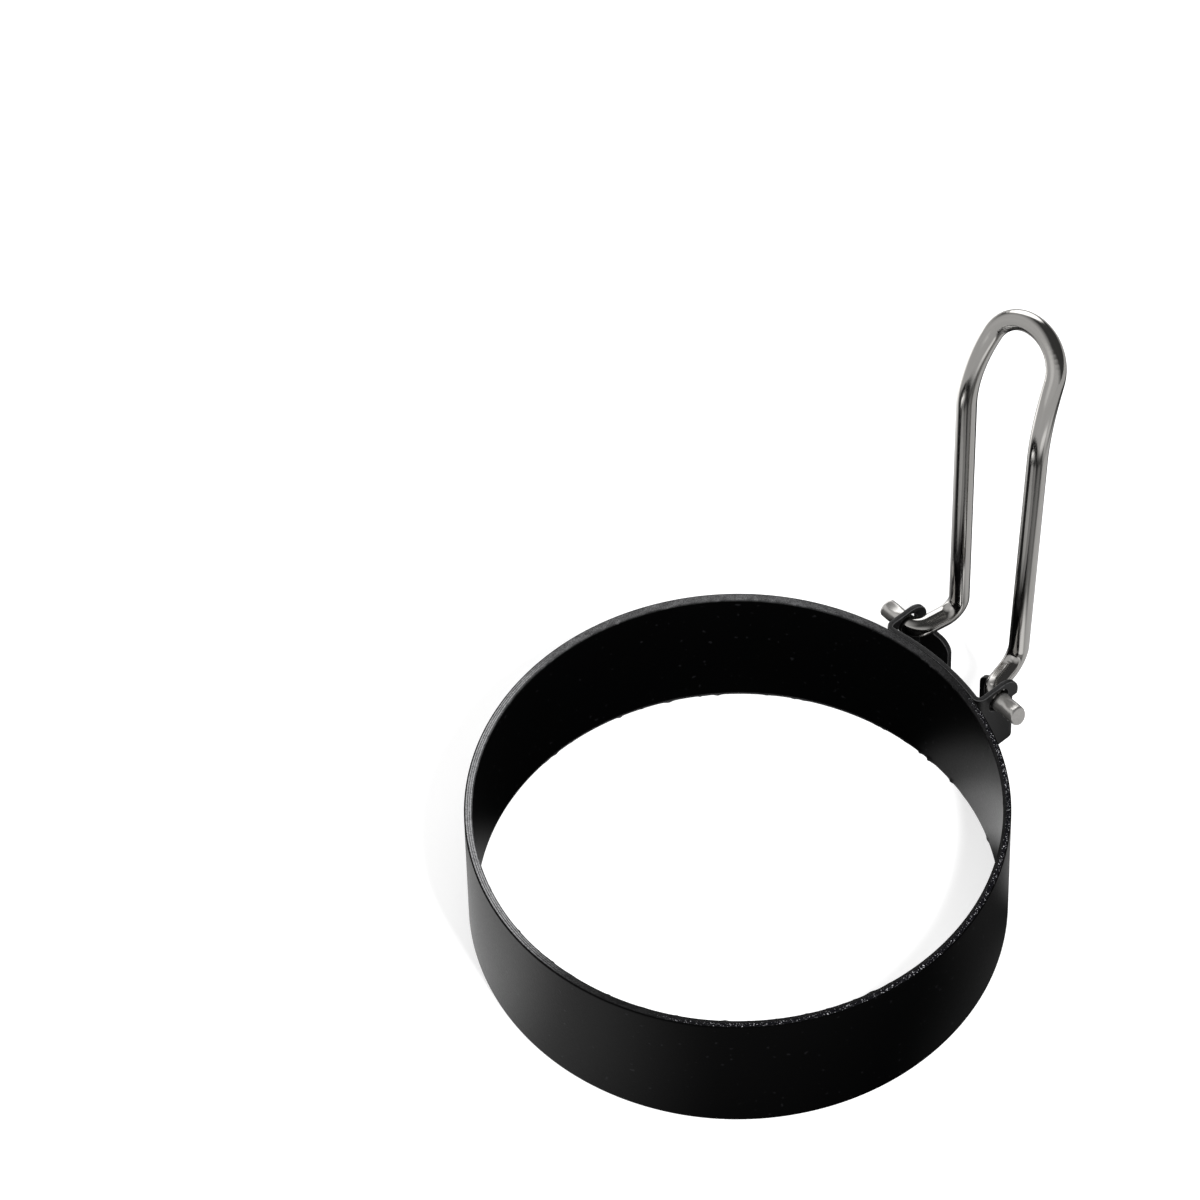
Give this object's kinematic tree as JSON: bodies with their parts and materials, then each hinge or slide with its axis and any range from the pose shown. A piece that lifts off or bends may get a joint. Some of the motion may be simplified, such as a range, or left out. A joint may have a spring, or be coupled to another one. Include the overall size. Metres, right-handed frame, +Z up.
{
  "type": "egg ring",
  "caption": "Open metal band that holds a frying egg round, with a wire lifting handle that stands up or folds flat across it.",
  "frame": {"origin": "bottom centre of the whole part's bounding box, on the surface that the band stands on", "axes": "+Z up along the band's axis, +Y out from the band through the hinge, +X along the hinge's axis"},
  "size_m": [0.0784, 0.0972, 0.0847],
  "materials": {
    "band_coat": "satin black non-stick coating on sheet steel, rubbed lighter along the cut rims",
    "bracket_coat": "the same satin black coating on bent sheet steel, with lighter edges",
    "handle_steel": "bright drawn stainless steel wire, polished, with small tool marks at its bends"
  },
  "bodies": {
    "ring": {"ring_band": "band_coat", "hinge_bracket": "bracket_coat"},
    "handle": {"wire_handle": "handle_steel"}
  },
  "joints": [
    {"name": "handle_fold", "type": "hinge", "parent": "ring", "child": "handle", "pos_m": [0, 0.03303, 0.0193], "axis": [1, 0, 0], "range_deg": [0, 90]}
  ]
}
